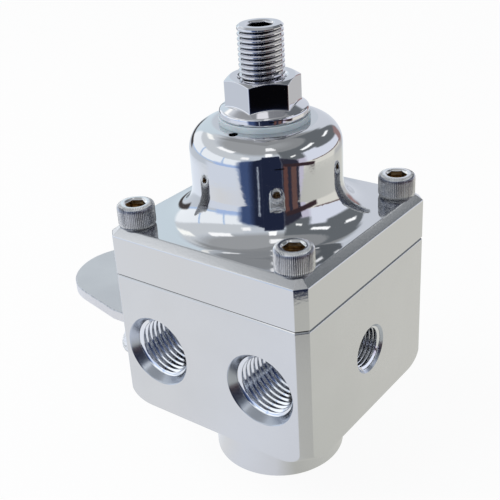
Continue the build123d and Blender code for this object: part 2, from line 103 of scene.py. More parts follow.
def many_sided(distances, rounding, turn=0.0, arc_steps=4, flat_steps=1):
    """Outline of a polygon given by the distance of each side from the axis, with rounded corners.

    The centre of a corner is where the two sides, moved in by the rounding, cross, and its points
    are centre + rounding * (cos, sin). Gives the points and the directions that they face.
    """
    distances = np.asarray(distances, float) - rounding
    count = distances.shape[-1]
    step = 2 * math.pi / count
    facing = np.radians(turn) + step * np.arange(count)
    ahead = np.roll(distances, -1, axis=-1)
    first = (distances - ahead * math.cos(step)) / math.sin(step) ** 2
    second = (ahead - distances * math.cos(step)) / math.sin(step) ** 2
    sides = np.stack([np.cos(facing), np.sin(facing)], axis=-1)
    centre = first[..., None] * sides + second[..., None] * np.roll(sides, -1, axis=0)
    angle = facing[:, None] + np.linspace(0, step, arc_steps + 1)
    normals = np.stack([np.cos(angle), np.sin(angle)], axis=-1)
    corners = centre[..., None, :] + rounding * normals
    if flat_steps > 1:
        t = (np.arange(1, flat_steps) / flat_steps)[:, None]
        flats = corners[..., -1:, :] * (1 - t) + np.roll(corners, -1, axis=-3)[..., :1, :] * t
        corners = np.concatenate([corners, flats], axis=-2)
        flat_normals = np.broadcast_to(normals[:, -1:, :], (count, flat_steps - 1, 2))
        normals = np.concatenate([normals, flat_normals], axis=-2)
    points = corners.reshape(*corners.shape[:-3], -1, 2)
    return points, np.broadcast_to(normals.reshape(-1, 2), points.shape)


def grid_faces(rows, columns, wrapped):
    """Two triangles for each cell of a grid, which closes on itself along its columns if wrapped."""
    index = np.arange(rows * columns).reshape(rows, columns)
    if wrapped:
        index = np.concatenate([index, index[:, :1]], axis=1)
    a, b, c, d = index[:-1, :-1], index[1:, :-1], index[1:, 1:], index[:-1, 1:]
    halves = [np.stack(corners, -1).reshape(-1, 3) for corners in ([a, b, c], [a, c, d])]
    return np.concatenate(halves)


def skin(points, wrapped=True, normals=None):
    """Patch from a grid of points. Its normal is the cross product of the differences of the
    neighbouring points along the rows and along the columns, unless normals are given."""
    rows, columns = points.shape[:2]
    if normals is None:
        down = np.gradient(points, axis=0)
        around_ring = np.roll(points, -1, 1) - np.roll(points, 1, 1)
        across = around_ring if wrapped else np.gradient(points, axis=1)
        normals = np.cross(down, across)
        for end, inner in ((0, 1), (-1, -2)):
            pole = np.linalg.norm(normals[end], axis=-1) < 1e-9
            normals[end][pole] = normals[inner][pole]
    length = np.maximum(np.linalg.norm(normals, axis=-1, keepdims=True), 1e-12)
    return points.reshape(-1, 3), (normals / length).reshape(-1, 3), grid_faces(rows, columns, wrapped)


def around(profile, angle):
    """Grid of a profile of radius and height, one for all columns or one each, turned about Z.

    A point is (r cos a, r sin a, z). A profile that runs clockwise, with the radius to the right
    and the height up, gives normals that point out of the solid.
    """
    profile = np.asarray(profile, float)
    if profile.ndim == 2:
        profile = np.broadcast_to(profile, (len(angle),) + profile.shape)
    r, z = profile[..., 0].T, profile[..., 1].T
    return np.stack([r * np.cos(angle), r * np.sin(angle), z], axis=-1)


def flat(outline, holes, facing):
    """Flat patch between an outline and its holes, with one normal."""
    loops = [outline, *holes]
    points = np.concatenate(loops)
    faces = np.array(tessellate_polygon([loop.tolist() for loop in loops]))
    corners = points[faces]
    cross = np.cross(corners[:, 1] - corners[:, 0], corners[:, 2] - corners[:, 0])
    wrong = cross @ np.asarray(facing, float) < 0
    faces[wrong] = faces[wrong][:, ::-1]
    return points, np.broadcast_to(np.asarray(facing, float), points.shape), faces


def level(outline, height):
    """Outline in the plane put at one height, or rows of outlines put at a height each."""
    height = np.asarray(height, float)
    height = height[:, None, None] if height.ndim else height
    return np.concatenate([outline, np.broadcast_to(height, outline.shape[:-1] + (1,))], axis=-1)


def thread(radius, depth, pitch, bottom, top, angle, outside, per_turn=20):
    """Grid of a thread, whose rows follow the helix so that crests and roots stay sharp.

    z = bottom + pitch (v + (a - first) / 2 pi), held between the ends, and r = radius - depth w.
    For a tapped hole w is a V with small flats, 0 outside and 1 inside, and for a rolled screw its
    crests are wider. It fades to 0 over a third of a turn at both ends.
    """
    angle = np.concatenate([angle, angle[:1] + 2 * math.pi])
    first = angle[0]
    v = np.arange(-per_turn, math.ceil((top - bottom) / pitch * per_turn) + 1)[:, None] / per_turn
    z = np.clip(bottom + pitch * (v + (angle - first) / (2 * math.pi)), bottom, top)

    def radius_at(z, angle):
        """The formula of r, with w averaged over three places close together along the pitch."""
        wave = 0
        for shift in (-0.03, 0.0, 0.03):
            phase = (z - bottom) / pitch - (angle - first) / (2 * math.pi) + shift
            zigzag = np.abs(2 * (phase - np.floor(phase)) - 1)
            flats = np.clip((zigzag - 0.08) / 0.8, 0, 1)
            rolled = np.clip((zigzag - 0.3) / 0.62, 0, 1)
            wave = wave + (rolled if outside else flats) / 3
        ends = np.clip(np.minimum(z - bottom, top - z) / (0.33 * pitch), 0, 1)
        return radius - depth * wave * ends

    r = radius_at(z, angle)
    small = 1e-3
    rise = (radius_at(z + small, angle) - radius_at(z - small, angle)) / (2 * small)
    swing = (radius_at(z, angle + small) - radius_at(z, angle - small)) / (2 * small * r)
    c, s = np.cos(angle), np.sin(angle)
    points = np.stack([r * c, r * s, z], axis=-1)
    normals = np.stack([c + swing * s, s - swing * c, -rise], axis=-1)
    if outside:
        return skin(points[::-1], False, normals[::-1])
    return skin(points, False, -normals)


def placed(patch, origin, u, v, w):
    """Patch carried from its own axes onto u, v, w at an origin."""
    points, normals, faces = patch
    axes = np.array([u, v, w], float)
    return points @ axes + np.asarray(origin, float), normals @ axes, faces


def piece(name, groups, body, replaced):
    """One mesh from groups of a material and its patches, in millimetres. Points that coincide
    become one, triangles that vanish are dropped, and each corner keeps the normal of its patch."""
    patches = [patch for material, group in groups for patch in group]
    number = np.concatenate([
        np.full(len(patch[2]), k) for k, (material, group) in enumerate(groups) for patch in group])
    points, normals = (np.concatenate([patch[k] for patch in patches]) for k in (0, 1))
    start = np.cumsum([0] + [len(patch[0]) for patch in patches[:-1]])
    faces = np.concatenate([patch[2] + first for patch, first in zip(patches, start)])
    off_halfway = 1.23e-5
    rounded = np.round(points + off_halfway, 4)
    _, kept, merged = np.unique(rounded, axis=0, return_index=True, return_inverse=True)
    merged = merged.reshape(-1)[faces]
    whole = (merged[:, 0] != merged[:, 1]) & (merged[:, 1] != merged[:, 2]) & (merged[:, 2] != merged[:, 0])
    merged, faces, number = merged[whole], faces[whole], number[whole]
    mesh = bpy.data.meshes.new(name)
    mesh.vertices.add(len(kept))
    mesh.vertices.foreach_set("co", (points[kept] / 1000).ravel())
    mesh.loops.add(merged.size)
    mesh.loops.foreach_set("vertex_index", merged.ravel())
    mesh.polygons.add(len(merged))
    mesh.polygons.foreach_set("loop_start", np.arange(0, merged.size, 3))
    mesh.polygons.foreach_set("material_index", number)
    mesh.update(calc_edges=True)
    mesh.shade_smooth()
    mesh.normals_split_custom_set(normals[faces.ravel()])
    for material, group in groups:
        mesh.materials.append(material)
    made = bpy.data.objects.new(name, mesh)
    bpy.context.scene.collection.objects.link(made)
    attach(made, body)
    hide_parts(replaced)


def linear_light(value):
    """sRGB values from 0 to 1 as linear light."""
    return np.where(value <= 0.04045, value / 12.92, ((value + 0.055) / 1.055) ** 2.4)


def srgb(hex_colour):
    """Hex colour as sRGB values from 0 to 1."""
    return np.array([int(hex_colour[i:i + 2], 16) for i in (1, 3, 5)]) / 255


def linear(hex_colour):
    """Hex colour as the linear values of a socket."""
    return (*linear_light(srgb(hex_colour)).tolist(), 1.0)


def feed(tree, node, links):
    """Links inputs of a node to their sources: an output, or a node for its first output."""
    for name, source in dict(links).items():
        tree.links.new(getattr(source, "outputs", [source])[0], node.inputs[name])


def add(tree, kind, values=(), links=(), stops=(), **settings):
    """Adds a shader node of a kind with its own settings, the values of its inputs, the sources
    that its inputs read, and, for a ramp, its stops."""
    node = tree.nodes.new("ShaderNode" + kind)
    for name, value in settings.items():
        setattr(node, name, value)
    for name, value in dict(values).items():
        node.inputs[name].default_value = value
    feed(tree, node, links)
    for number, (place, colour) in enumerate(stops):
        marks = node.color_ramp.elements
        mark = marks[number] if number < 2 else marks.new(place)
        mark.position, mark.color = place, linear(colour)
    return node


def new_material(name, colour, roughness, size, detail, tones=(), rough=(), bump=(), **more):
    """Metal, or with more values another material, and a noise whose marks have a size in
    millimetres. Where they are given, it varies the colour between tones and the roughness over a
    range, and raises a bump of a strength and a depth in millimetres. Gives the material, its
    nodes, the shader, the place on the piece and the noise."""
    material = bpy.data.materials.new(name)
    material.use_nodes = True
    tree = material.node_tree
    shader = tree.nodes["Principled BSDF"]
    values = {"Base Color": linear(colour), "Metallic": 1.0, "Roughness": roughness, **more}
    for socket, value in values.items():
        shader.inputs[socket].default_value = value
    place = add(tree, "TexCoord").outputs["Object"]
    noise = add(tree, "TexNoise", {"Scale": 1000 / size, "Detail": detail}, {"Vector": place})
    if tones:
        tone = add(tree, "ValToRGB", links={"Fac": noise}, stops=tones)
        feed(tree, shader, {"Base Color": tone})
    if rough:
        spread = add(tree, "MapRange", {"To Min": rough[0], "To Max": rough[1]}, {"Value": noise})
        feed(tree, shader, {"Roughness": spread})
    if bump:
        raised = add(tree, "Bump", {"Strength": bump[0], "Distance": bump[1] / 1000}, {"Height": noise})
        feed(tree, shader, {"Normal": raised})
    return material, tree, shader, place, noise


half, _, joint_z = node_box("body")[1]
joint_gap, joint_edge = 0.1, 0.34
joint_dark = "#303133"

# Satin aluminium: 6061 billet, fly-cut and lightly polished, so it mirrors its surroundings
# softly and a little cloudily. The cutter's lines along the sides are drawn 0.2 mm apart, coarser
# than they are, to show. The slot at the joint under the bonnet is dark, and its edge is burnished.
satin_aluminium, tree, shader, place, cloud = new_material(
    "satin_aluminium", "#dadbdd", 0.25, 100 / 9, 4.0)
tone = add(tree, "ValToRGB", links={"Fac": cloud}, stops=[(0.3, "#d8d9db"), (0.7, "#dcdddf")])
height = add(tree, "SeparateXYZ", links={"Vector": place}).outputs["Z"]
joint = add(tree, "Math", {1: (joint_z - joint_gap - 0.015) / 1000}, {0: height}, operation="GREATER_THAN")
tone = add(tree, "MixRGB", {"Color2": linear(joint_dark)}, {"Fac": joint, "Color1": tone})
rough = add(tree, "MapRange", {"To Min": 0.2, "To Max": 0.3}, {"Value": cloud})
edge_z = joint_z - joint_gap - joint_edge
edge_range = {"From Min": (edge_z - 0.02) / 1000, "From Max": edge_z / 1000, "To Min": 1.0, "To Max": 0.35}
edge = add(tree, "MapRange", edge_range, {"Value": height})
rough = add(tree, "Math", links={0: rough, 1: edge}, operation="MULTIPLY")
lines_place = add(tree, "Mapping", {"Scale": (60, 60, 1000 / 0.2)}, {"Vector": place})
lines = add(tree, "TexNoise", {"Scale": 1.0, "Detail": 2.0}, {"Vector": lines_place})
bump = add(tree, "Bump", {"Strength": 0.05, "Distance": 0.00002}, {"Height": lines})
feed(tree, shader, {"Base Color": tone, "Roughness": rough, "Normal": bump})

# Turned aluminium: the same billet where it is bored, which the tool's fine rings leave less
# glossy, uneven over some 4 mm.
turned_aluminium = new_material("turned_aluminium", "#c2c8d2", 0.2, 4, 1.0, rough=(0.2, 0.28))[0]

# Tapped aluminium: the flanks that the tap has cut and burnished, with oil in specks of 2 mm.
tapped_aluminium = new_material("tapped_aluminium", "#eceef2", 0.1, 2, 2.0, rough=(0.06, 0.14))[0]

corner_chamfer = 2.1
corner_distance = (2 * half - corner_chamfer) / math.sqrt(2)
edge_rounding = 0.3
face_z = 18.5
turned_radius = 3.6
turned_reach = math.hypot(half, half - corner_chamfer) + 0.05
boss_radius = 15.45
inlet_radius, inlet_pitch, inlet_depth = 9.52, 1.5875, 14.25
valve_bore, seat_bore = 6.35, 8.1
chamber_radius, register_radius = 17.5, 21.6
port_z = joint_z - 17.0
outlet_x, outlet_radius, outlet_pitch = 13.88, 7.14, 1.411
gauge_radius, gauge_pitch = 5.1, 0.94
fine = np.radians(np.arange(0, 360, 3.75))


def square_ring(inset):
    """Outline of the billet, moved in by an inset, one for each row."""
    inset = np.asarray(inset, float)[..., None]
    return many_sided(np.array([half, corner_distance] * 4) - inset, edge_rounding)


def quarter_turned(points, quarter):
    """Points turned about Z by so many quarters."""
    c, s = (1, 0, -1, 0)[quarter], (0, 1, 0, -1)[quarter]
    return points @ np.array([[c, s, 0], [-s, c, 0], [0, 0, 1.0]])


def side_profile(corners, reach):
    """Softened profile of inset and height, with the direction that it faces: (-dz, dr)."""
    line = soften(corners, reach)
    out, up = -np.gradient(line[:, 0]), np.gradient(line[:, 1])
    facing = np.stack([-up, out], axis=-1)
    return line, facing / np.linalg.norm(facing, axis=-1, keepdims=True)


def body_sides():
    """Four corner strips and four sides.

    Above the turned corners a strip is the billet's outline at each height. Below, it is the lesser
    of that outline and the turned R = reach - radius + radius cos p at z = centre - radius sin p.
    """
    centre_z = face_z + turned_radius
    line, facing = side_profile([
        (1.2, joint_z), (1.2, joint_z - joint_gap), (joint_edge, joint_z - joint_gap),
        (0, edge_z), (0, centre_z)], [0.05, 0.1, 0.1])
    ring, ring_facing = square_ring(line[:, 0])
    columns = ring.shape[1] // 4
    upper = level(ring[:, :columns], line[:, 1])
    upper_normals = level(ring_facing[:, :columns] * facing[:, :1, None], facing[:, 1])
    p = np.radians(np.linspace(0, 90, 33))[1:, None]
    turned = turned_reach - turned_radius + turned_radius * np.cos(p)
    base = upper[-1]
    base_angle = np.arctan2(base[:, 1], base[:, 0])
    share = (base_angle - base_angle[0]) / (base_angle[-1] - base_angle[0])
    start = np.arctan2(np.minimum(base[0, 1], np.sqrt(turned ** 2 - half ** 2)), half)
    angle = start + share * (math.pi / 2 - 2 * start)
    square = np.interp(angle, base_angle, np.hypot(base[:, 0], base[:, 1]), left=1e9, right=1e9)
    square = np.minimum(square, half / np.maximum(np.cos(angle), np.sin(angle)))
    on_turned = turned < square
    r = np.where(on_turned, turned, square)
    lower = level(circle(r, angle), centre_z - turned_radius * np.sin(p[:, 0]))
    turned_normals = level(circle(np.cos(p), angle), -np.sin(p[:, 0]))
    flat_normals = np.broadcast_to(level(ring_facing[-1, :columns], 0), turned_normals.shape)
    lower_normals = np.where(on_turned[..., None], turned_normals, flat_normals)
    strip = np.concatenate([upper, lower])
    normals = np.concatenate([upper_normals, lower_normals])
    patches, loops = [], []
    for quarter in range(4):
        turned_strip = quarter_turned(strip, quarter)
        patches.append(skin(turned_strip, False, quarter_turned(normals, quarter)))
        after = quarter_turned(strip, (quarter + 1) % 4)
        side = quarter_turned(np.array([[0.0, 1.0, 0.0]]), quarter)[0]
        rows = len(line) - 1
        band = np.stack([turned_strip[:rows, -1], after[:rows, 0]], axis=1)
        band_normals = facing[:rows, :1] * side + facing[:rows, 1:] * np.array([0, 0, 1.0])
        patches.append(skin(band, False, np.repeat(band_normals[:, None], 2, axis=1)))
        edge = np.concatenate([turned_strip[rows - 1:, -1], after[rows - 1:, 0][::-1]])
        loops.append((edge, side))
    ends = [np.concatenate([quarter_turned(strip[row], q) for q in range(4)]) for row in (0, -1)]
    return patches, loops, *ends


def port(mouth, thread_radius, pitch, thread_top, thread_end, end, origin, u, v, w):
    """Tapped port, mouth up in its own axes: softened mouth, V thread, blind end. Gives its
    patches and the rim that the face joins."""
    lower = soften([(0, end[1]), end, (end[0], thread_end), (thread_radius, thread_end)], 0.1)
    upper = soften([(thread_radius, thread_top), *mouth], 0.12)
    bored = [placed(skin(around(line, fine)), origin, u, v, w) for line in (lower, upper)]
    tapped = thread(thread_radius, 0.6 * pitch, pitch, thread_end, thread_top, fine, False)
    rim = level(circle(upper[-1, 0], fine), 0)
    return bored, placed(tapped, origin, u, v, w), rim @ np.array([u, v, w], float) + np.asarray(origin)


body_patches, side_loops, top_loop, bottom_loop = body_sides()
bored_patches, tapped_patches = [], []
rims = [[], [], [], []]
# each port: its mouth, the thread's radius and pitch, its two ends, and the drill's end
outlet = [(8.2, -0.15), (8.35, 0.0)], outlet_radius, outlet_pitch, -1.85, -16.0, (5.5, -18.0)
gauge = [(5.6, 0.0)], gauge_radius, gauge_pitch, -0.5, -10.45, (3.5, -13.45)
across_front, across_right = ((1, 0, 0), (0, 0, 1), (0, -1, 0)), ((0, 1, 0), (0, 0, 1), (1, 0, 0))
ports = (
    (2, outlet, (-outlet_x, -half, port_z), across_front),
    (2, outlet, (outlet_x, -half, port_z), across_front),
    (3, gauge, (half, 0, port_z), across_right),
)
for number, shape, origin, axes in ports:
    bored, tapped, rim = port(*shape, origin, *axes)
    bored_patches += bored
    tapped_patches.append(tapped)
    rims[number].append(rim)
for rim, (loop, side) in zip(rims, side_loops):
    body_patches.append(flat(loop, rim, side))
boss = soften([
    (boss_radius + 1.0, face_z), (boss_radius, face_z - 1.0), (boss_radius, 0.6), (boss_radius - 0.6, 0),
    (inlet_radius + 0.25, 0), (inlet_radius, 0.25)], [0.5, 0.15, 0.15, 0.1])
bore = soften([
    (inlet_radius, inlet_depth), (valve_bore, inlet_depth + 3.0), (valve_bore, joint_z - 6.5),
    (seat_bore, joint_z - 6.5), (seat_bore, joint_z - 5.0), (chamber_radius, joint_z - 5.0),
    (chamber_radius, joint_z - 1.0), (register_radius, joint_z - 1.0), (register_radius, joint_z)], 0.1)
tapped_patches.append(thread(inlet_radius, 0.86, inlet_pitch, 0.25, inlet_depth, fine, False))
bored_patches.append(skin(around(bore, fine)))
body_patches += [
    skin(around(boss, fine)),
    flat(bottom_loop, [level(circle(boss_radius + 1.0, fine), face_z)], (0, 0, -1)),
    flat(top_loop, [level(circle(register_radius, fine), joint_z)], (0, 0, 1)),
]
piece("billet_body", [(satin_aluminium, body_patches), (turned_aluminium, bored_patches),
                      (tapped_aluminium, tapped_patches)], "housing", "body")

# Bonnet: square cap plate and flared dome, turned and milled from one piece of aluminium and
# polished to a mirror. A small vent is drilled beside the washer.
plate_z = joint_z + 10.65
chamfer_width, chamfer_height = 1.8, 1.4
dome_z = node_box("bonnet")[1][2]
dome_radius = 16.2
shoulder_radius = 5.4
shoulder_centre = (dome_radius - shoulder_radius, dome_z - shoulder_radius)
foot_radius, foot_rise = 7.0, 8.0
foot_end = dome_radius + foot_radius + 0.05
spring_bore, hole_radius = 12.4, 4.79
vent_at, vent_radius = 10.75, 1.0
dome_columns = np.radians(np.arange(0, 360, 1.875))

# Polished aluminium: the same alloy buffed to a mirror, with a haze over some 6 mm. Its buffing
# marks are drawn 0.6 mm apart, to show. The plate's top chamfer was only filed and is duller, and
# its bottom is dark at the joint.
polished_aluminium, tree, shader, place, haze = new_material(
    "polished_aluminium", "#dadbdd", 0.05, 6.25, 3.0)
height = add(tree, "SeparateXYZ", links={"Vector": place}).outputs["Z"]
joint = add(tree, "Math", {1: (joint_z + joint_gap + 0.015) / 1000}, {0: height}, operation="LESS_THAN")
tone = add(tree, "MixRGB", {"Color1": linear("#dadbdd"), "Color2": linear(joint_dark)}, {"Fac": joint})
middle, reach = plate_z - chamfer_height / 2, chamfer_height / 2 - 0.01
chamfer = add(tree, "Math", {1: middle / 1000, 2: reach / 1000}, {0: height}, operation="COMPARE")
rough = add(tree, "Math", {1: 0.15, 2: 0.03}, {0: chamfer}, operation="MULTIPLY_ADD")
rough = add(tree, "Math", {1: 0.04}, {0: haze, 2: rough}, operation="MULTIPLY_ADD")
mark_size = 1 / 1.7
buffed = add(tree, "TexNoise", {"Scale": 1000 / mark_size, "Detail": 2.0}, {"Vector": place})
bump = add(tree, "Bump", {"Strength": 0.3, "Distance": 0.00002}, {"Height": buffed})
feed(tree, shader, {"Base Color": tone, "Roughness": rough, "Normal": bump})


def shoulder_height(r):
    """Height z = centre + sqrt(R^2 - past^2) of the dome's flat top and round shoulder at a radius,
    where past is how far it lies outside the shoulder's centre, and the slope there."""
    past = np.maximum(r - shoulder_centre[0], 0)
    rise = np.sqrt(shoulder_radius ** 2 - past ** 2)
    return shoulder_centre[1] + rise, -past / rise


def dome_patches():
    """Lathe of the dome, with a block of its cells left out round the vent and filled by rings that
    run from the block's edge to the drilled circle, edge (1-t) + circle t, at the shoulder's height."""
    shoulder = arc(shoulder_centre, shoulder_radius, 90, 0, 32)
    foot_centre = [dome_radius + foot_radius, plate_z + foot_rise]
    foot = arc((0, 0), 1, 180, 270, 48) * [foot_radius, foot_rise] + foot_centre
    profile = np.concatenate([[(hole_radius, dome_z), (8.4, dome_z)], shoulder, foot, [(foot_end, plate_z)]])
    grid = around(profile, dome_columns)
    points, normals, faces = skin(grid)
    columns = len(dome_columns)
    middle, spread = 3 * columns // 4, 5
    first, last = 1, 12
    row, column = (faces // columns).T, (faces % columns).T
    inside = (row >= first) & (row <= last) & (column >= middle - spread) & (column <= middle + spread)
    faces = faces[~inside.all(axis=0)]
    block = grid[first:last + 1, middle - spread:middle + spread + 1]
    edge = np.concatenate([block[0, :-1], block[:-1, -1], block[-1, :0:-1], block[:0:-1, 0]])
    vent = np.array([0, -vent_at])
    away = edge[:, :2] - vent
    drilled = vent + vent_radius * away / np.linalg.norm(away, axis=-1, keepdims=True)
    t = np.linspace(0, 1, 7)[:, None, None]
    plan = edge[:, :2] * (1 - t) + drilled * t
    r = np.hypot(plan[..., 0], plan[..., 1])
    height, slope = shoulder_height(r)
    height[0] = edge[:, 2]
    rings = np.concatenate([plan, height[..., None]], axis=-1)
    ring_normals = level(-slope[..., None] * plan / r[..., None], 1.0)
    wall = np.stack([rings[-1], rings[-1] - [0, 0, 0.1], level(drilled, dome_z - 5.0)])
    wall = np.concatenate([wall, np.broadcast_to([0.0, -vent_at, dome_z - 5.0], wall[:1].shape)])
    return [(points, normals, faces), skin(rings, True, ring_normals), skin(wall)]


plate_line, plate_facing = side_profile(
    [(chamfer_width + 0.3, plate_z), (chamfer_width, plate_z), (0, plate_z - chamfer_height),
     (0, joint_z + joint_gap + 0.1), (0.1, joint_z + joint_gap), (1.2, joint_z + joint_gap), (1.2, joint_z)],
    [0.25, 0.25, 0.05, 0.05, 0.05])
ring, ring_facing = square_ring(plate_line[:, 0])
plate_grid = level(ring, plate_line[:, 1])
plate_normals = level(ring_facing * plate_facing[:, :1, None], plate_facing[:, 1])
cavity = soften([
    (chamber_radius, joint_z), (chamber_radius, joint_z + 3.2), (spring_bore, joint_z + 3.2),
    (spring_bore, dome_z - 6.25), (hole_radius, dome_z - 6.25), (hole_radius, dome_z)], 0.1)
bonnet_patches = dome_patches() + [
    skin(plate_grid, True, plate_normals),
    flat(plate_grid[0], [level(circle(foot_end, dome_columns), plate_z)], (0, 0, 1)),
    flat(plate_grid[-1], [level(circle(chamber_radius, dome_columns), joint_z)], (0, 0, -1)),
    skin(around(cavity, dome_columns)),
]
piece("domed_bonnet", [(polished_aluminium, bonnet_patches)], "housing", "bonnet")

# Cap screws: four alloy steel socket screws with knurled heads, bright zinc plated, which clamp
# the bonnet to the body at its corners. The grooves of the knurl carry a painted shade.
head_radius = 4.06
head_height = node_box("cap_screws")[1][2] - plate_z + 0.3
shank_radius = 2.41
socket_flats, socket_depth = 3.97, 1.9
screw_offset = half - 5.1
ridge_count, ridge_depth = 60, 0.32


def distance_from_axis(tree, place):
    """Distance of a place from the Z axis: the length of (x, y, 0)."""
    across = add(tree, "VectorMath", {1: (1.0, 1.0, 0.0)}, {0: place}, operation="MULTIPLY")
    return add(tree, "VectorMath", links={0: across}, operation="LENGTH").outputs["Value"]


# Bright steel: zinc plating, glossy and a little uneven over some 1.4 mm. The knurl's grooves are
# darkened by a painted shade, which fades out 0.08 mm from the outside and 0.5 mm under the top.
bright_steel, tree, shader, place, mottle = new_material(
    "bright_steel", "#f0f1f2", 0.16, 10 / 7, 4.0, rough=(0.1, 0.24))
tone = add(tree, "ValToRGB", links={"Fac": mottle}, stops=[(0.35, "#e6e7e8"), (0.65, "#f9f9fa")])
mirrored = add(tree, "VectorMath", links={0: place}, operation="ABSOLUTE")
centre = (screw_offset / 1000, screw_offset / 1000, 0)
centred = add(tree, "VectorMath", {1: centre}, {0: mirrored}, operation="SUBTRACT")
# painted shade in the knurl's grooves, dark toward their bottom and below the crown
groove_shade_range = {"From Min": (head_radius - 0.3) / 1000, "From Max": (head_radius - 0.08) / 1000,
                "To Min": 0.45, "To Max": 0.0}
groove_shade = add(tree, "MapRange", groove_shade_range, {"Value": distance_from_axis(tree, centred)})
height = add(tree, "SeparateXYZ", links={"Vector": place}).outputs["Z"]
crown_z = plate_z + head_height - 0.5
below_range = {"From Min": (crown_z - 0.4) / 1000, "From Max": crown_z / 1000, "To Min": 1.0, "To Max": 0.0}
below = add(tree, "MapRange", below_range, {"Value": height})
groove_shade = add(tree, "Math", links={0: groove_shade, 1: below}, operation="MULTIPLY")
# the colour of the painted shade in the grooves
tone = add(tree, "MixRGB", {"Color2": linear("#7c7b78")}, {"Fac": groove_shade, "Color1": tone})
feed(tree, shader, {"Base Color": tone})

# Brown socket: the deep part of the driver's hexagon, dark brown.
brown_socket = new_material(
    "brown_socket", "#6b5537", 0.3, 10 / 9, 3.0, [(0.35, "#6e553a"), (0.65, "#b89a6c")])[0]


def hex_radius(flats, angle):
    """Distance from the axis to the side of a hexagon: half its flats, by the cosine of the angle
    from the middle of the nearest side."""
    sixth = math.pi / 3
    return flats / 2 / np.cos((angle + sixth / 2) % sixth - sixth / 2)


def lathed(corners, reach, steps, angle):
    """Patch turned about Z from corners (radius, height), each one value or one for each column,
    with the corners softened by a reach."""
    columns = [np.stack(np.broadcast_arrays(r, z, angle)[:2], axis=-1) for r, z in corners]
    return skin(around(soften(np.stack(columns, axis=1), reach, steps), angle))


def socket_screw(length):
    """Socket screw, head standing on height 0: the socket, the rounded crown, the knurl with a
    radius of r - d |sin (n a / 2)| for n ridges, and the plain shank."""
    angle = np.radians(np.arange(0, 360, 1.0))
    knurl = head_radius - ridge_depth * np.abs(np.sin(ridge_count * angle / 2))
    inner = hex_radius(socket_flats, angle)
    top, bore_top, bore_end = head_height, head_height - 1.2, head_height - socket_depth
    socket = lathed([(0, bore_end), (inner, bore_end), (inner, bore_top)], 0.1, 3, angle)
    head = [
        (inner, bore_top), (inner, top - 0.35), (2.5, top - 0.03), (2.7, top), (knurl - 0.5, top - 0.06),
        (knurl - 0.06, top - 0.45), (knurl, top - 1.0), (knurl, 0.6), (knurl - 0.3, 0.14),
        (head_radius - 0.6, 0.0), (shank_radius, 0.0), (shank_radius, 0.4 - length),
        (shank_radius - 0.4, -length), (0, -length),
    ]
    reach = [0.1, 0.1, 0.1, 0.3, 0.3, 0.3, 0.3, 0.2, 0.1, 0.05, 0.1, 0.1]
    return socket, lathed(head, reach, 3, angle)


cap_sockets, cap_heads = [[
    placed(part, (x, y, plate_z), (1, 0, 0), (0, 1, 0), (0, 0, 1))
    for x in (-screw_offset, screw_offset) for y in (-screw_offset, screw_offset)
] for part in socket_screw(19.05)]
piece("corner_screws", [(bright_steel, cap_heads), (brown_socket, cap_sockets)], "housing",
      "cap_screws")

# Bracket: 2.8 mm aluminium plate, cut with a round tip, bent once to a right angle and blasted.
# Its short leg is screwed flat to the side of the body.
bracket_low, bracket_high = node_box("bracket")
wall_x = -half
plate_thickness = 2.8
bracket_z = bracket_high[2]
leg_end_z = bracket_low[2]
half_width = bracket_high[1]
bend_radius, tip_radius, leg_corner = 2.4, 14.4, 4.0
bevel = 0.25
tip_x = bracket_low[0] + tip_radius
kink_x = wall_x - 10.6
leg_length = bracket_z - plate_thickness - bend_radius - leg_end_z
bend_length = (bend_radius + plate_thickness / 2) * math.pi / 2
fold_x = wall_x - plate_thickness - bend_radius
mount_hole_x, mount_hole_y, mount_hole_radius = -37.6, 7.4, 3.3

# Blasted aluminium: dull from a fine grit, whose pits are drawn 0.4 mm apart, coarser than they
# are, to show. It is a little cloudy over some 14 mm.
blasted_aluminium, tree, shader, place, _ = new_material(
    "blasted_aluminium", "#e0e5ea", 0.38, 0.4, 2.0, bump=(0.1, 0.02))
cloud_size = 100 / 7
cloud = add(tree, "TexNoise", {"Scale": 1000 / cloud_size, "Detail": 3.0}, {"Vector": place})
tone = add(tree, "ValToRGB", links={"Fac": cloud}, stops=[(0.3, "#dad8d9"), (0.7, "#e4e2e2")])
feed(tree, shader, {"Base Color": tone})

# Sheared edge: the narrow bevels of the same plate, where the file has left its marks.
sheared_edge = new_material(
    "sheared_edge", "#8f9297", 0.3, 5 / 6, 2.0, [(0.3, "#a9acb1"), (0.7, "#d2d5da")])[0]


def blank_place(x):
    """Length along the blank at which the flat tongue reaches x."""
    return leg_length + bend_length + fold_x - x


def fold(points, normals):
    """Carries a flat blank (length, width, thickness) onto the leg, round the bend and along the
    tongue: the bend turns a = (s - leg) / length of bend * 90 degrees about its centre."""
    s, y, t = points[..., 0], points[..., 1], points[..., 2]
    turn = np.clip((s - leg_length) / bend_length, 0, 1) * math.pi / 2
    radius = bend_radius + t
    up = np.minimum(s, leg_length) - leg_length
    out = np.maximum(s - leg_length - bend_length, 0)
    x = fold_x + radius * np.cos(turn) - out
    z = bracket_z - plate_thickness - bend_radius + radius * np.sin(turn) + up
    length, width, through = np.moveaxis(normals, -1, 0)
    c, s = np.cos(turn), np.sin(turn)
    carried = np.stack([through * c - length * s, width, length * c + through * s], axis=-1)
    return np.stack([x, y, z], axis=-1), carried


